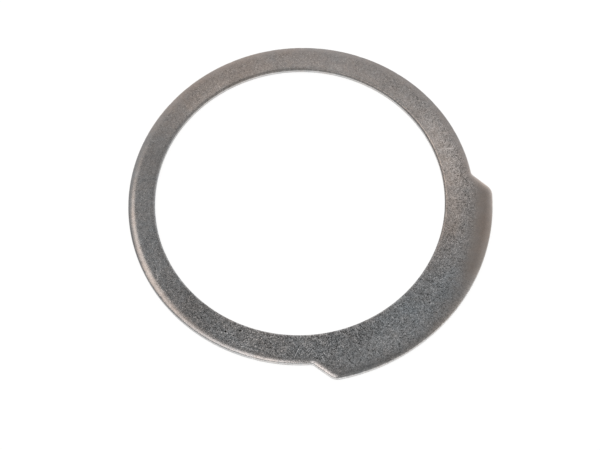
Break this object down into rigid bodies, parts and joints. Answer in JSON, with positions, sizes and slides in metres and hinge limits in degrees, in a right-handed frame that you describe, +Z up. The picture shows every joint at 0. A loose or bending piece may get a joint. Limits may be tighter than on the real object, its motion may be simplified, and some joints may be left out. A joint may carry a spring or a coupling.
{
  "type": "lug washer",
  "caption": "Flat ring washer stamped from thin steel sheet, with a wide lug on its rim that keeps it from turning and a softly rolled upper edge.",
  "frame": {"origin": "centre of the bore, on the lower face", "axes": "+Z up through the sheet, towards the face with the rolled edge; +X out through the middle of the lug"},
  "size_m": [0.0878, 0.0834, 0.0015],
  "materials": {
    "tumbled_steel": "bare steel, tumbled: fine short scratches in every direction, with soft brighter edges"
  },
  "bodies": {
    "root": {"washer": "tumbled_steel"}
  },
  "joints": []
}
